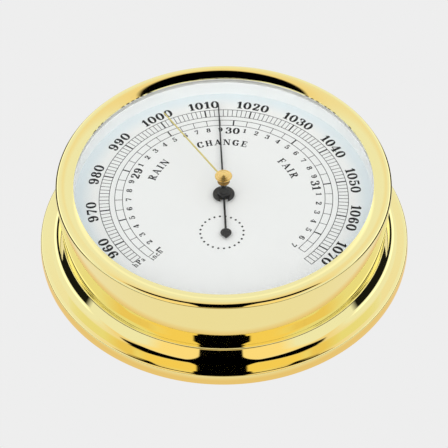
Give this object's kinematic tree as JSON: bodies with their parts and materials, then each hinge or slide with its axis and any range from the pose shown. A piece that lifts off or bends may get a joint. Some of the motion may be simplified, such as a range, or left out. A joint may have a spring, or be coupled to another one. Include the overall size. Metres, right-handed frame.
{
  "type": "aneroid barometer",
  "caption": "Ship's aneroid barometer: flanged polished brass case, white printed dial, black indicating hand and a brass set hand with a knob on the glass.",
  "frame": {"origin": "centre of the flange's flat rear face, on the surface it rests or mounts on", "axes": "+Z along the dial's normal, out through the glass; +Y towards the top of the dial (12 o'clock)"},
  "size_m": [0.151, 0.151, 0.0389],
  "materials": {
    "polished_brass": "mirror polished and lacquered",
    "clear_glass": "clear flat glass",
    "clear_gasket": "translucent soft ring",
    "white_enamel": "satin white paint",
    "printed_dial": "matt white paint, printed black",
    "black_hand": "satin black",
    "movement_brass": "fine brushed",
    "capsule_metal": "copper alloy sheet, satin",
    "steel": "satin",
    "spring_steel": "blued"
  },
  "bodies": {
    "movement_and_case": {"case_body": "polished_brass", "bezel": "polished_brass", "glass_gasket": "clear_gasket", "front_glass": "clear_glass", "rehaut_ring": "white_enamel", "dial_plate": "printed_dial", "dial_feet": "steel", "dial_foot_screws": "steel", "dial_pillars": "movement_brass", "rear_cover": "polished_brass", "rear_cover_screws": "polished_brass", "movement_spacers": "movement_brass", "movement_screws": "steel", "base_plate": "movement_brass", "plate_pillars": "movement_brass", "upper_plate": "movement_brass", "upper_plate_screws": "steel", "carrier_spring": "spring_steel", "carrier_block": "steel", "carrier_rivets": "steel", "capsule_stud": "movement_brass", "capsule_nut": "movement_brass", "capsule_lower": "capsule_metal", "capsule_upper": "capsule_metal", "adjusting_bush": "movement_brass", "rocker_bearings": "movement_brass", "rocker_bearing_screws": "steel", "hairspring": "spring_steel", "hairspring_stud": "movement_brass", "movement_bridge": "movement_brass", "bridge_posts": "movement_brass", "bridge_screws": "steel", "set_bush": "clear_gasket", "spring_washer": "steel"},
    "pointer_body": {"pinion": "steel", "pointer_arbor": "steel", "hairspring_collet": "movement_brass", "pointer": "black_hand", "pointer_hub": "black_hand"},
    "sector_body": {"sector_arbor": "steel", "sector_gear": "movement_brass", "sector_fork": "movement_brass"},
    "rocker_body": {"rocker_shaft": "steel", "contact_arm": "steel", "lift_arm": "steel"},
    "capsule_body": {"capsule_boss": "movement_brass"},
    "set_hand_body": {"set_spindle": "black_hand", "set_hand": "polished_brass", "set_hand_collar": "polished_brass", "set_knob": "polished_brass"},
    "adjuster_body": {"adjusting_screw": "steel"}
  },
  "joints": [
    {"name": "pointer_turn", "type": "hinge", "parent": "movement_and_case", "child": "pointer_body", "pos_m": [0, 0, 0.0276], "axis": [0, 0, -1], "range_deg": [-132.75, 139.5]},
    {"name": "sector_turn", "type": "hinge", "parent": "movement_and_case", "child": "sector_body", "pos_m": [-0.02387, 0.0025, 0.0194], "axis": [0, 0, 1], "range_deg": [-8.9, 9.35]},
    {"name": "rocker_turn", "type": "hinge", "parent": "movement_and_case", "child": "rocker_body", "pos_m": [0, 0.0025, 0.0146], "axis": [1, 0, 0], "range_deg": [-5.95, 6.25]},
    {"name": "capsule_rise", "type": "slide", "parent": "movement_and_case", "child": "capsule_body", "axis": [0, 0, 1], "range_m": [-0.000275, 0.000262], "deforming": ["capsule_upper"]},
    {"name": "set_hand_turn", "type": "hinge", "parent": "movement_and_case", "child": "set_hand_body", "pos_m": [0, 0, 0.035], "axis": [0, 0, -1], "continuous": true},
    {"name": "adjuster_turn", "type": "hinge", "parent": "movement_and_case", "child": "adjuster_body", "pos_m": [-0.0305, 0, 0.004], "axis": [0, 0, 1], "range_deg": [-180, 180]}
  ],
  "couplings": [
    {"joint": "sector_turn", "follows": "pointer_turn", "ratio": 0.066667},
    {"joint": "rocker_turn", "follows": "pointer_turn", "ratio": 0.044444},
    {"joint": "capsule_rise", "follows": "pointer_turn", "m_per_rad": -0.00011111}
  ]
}
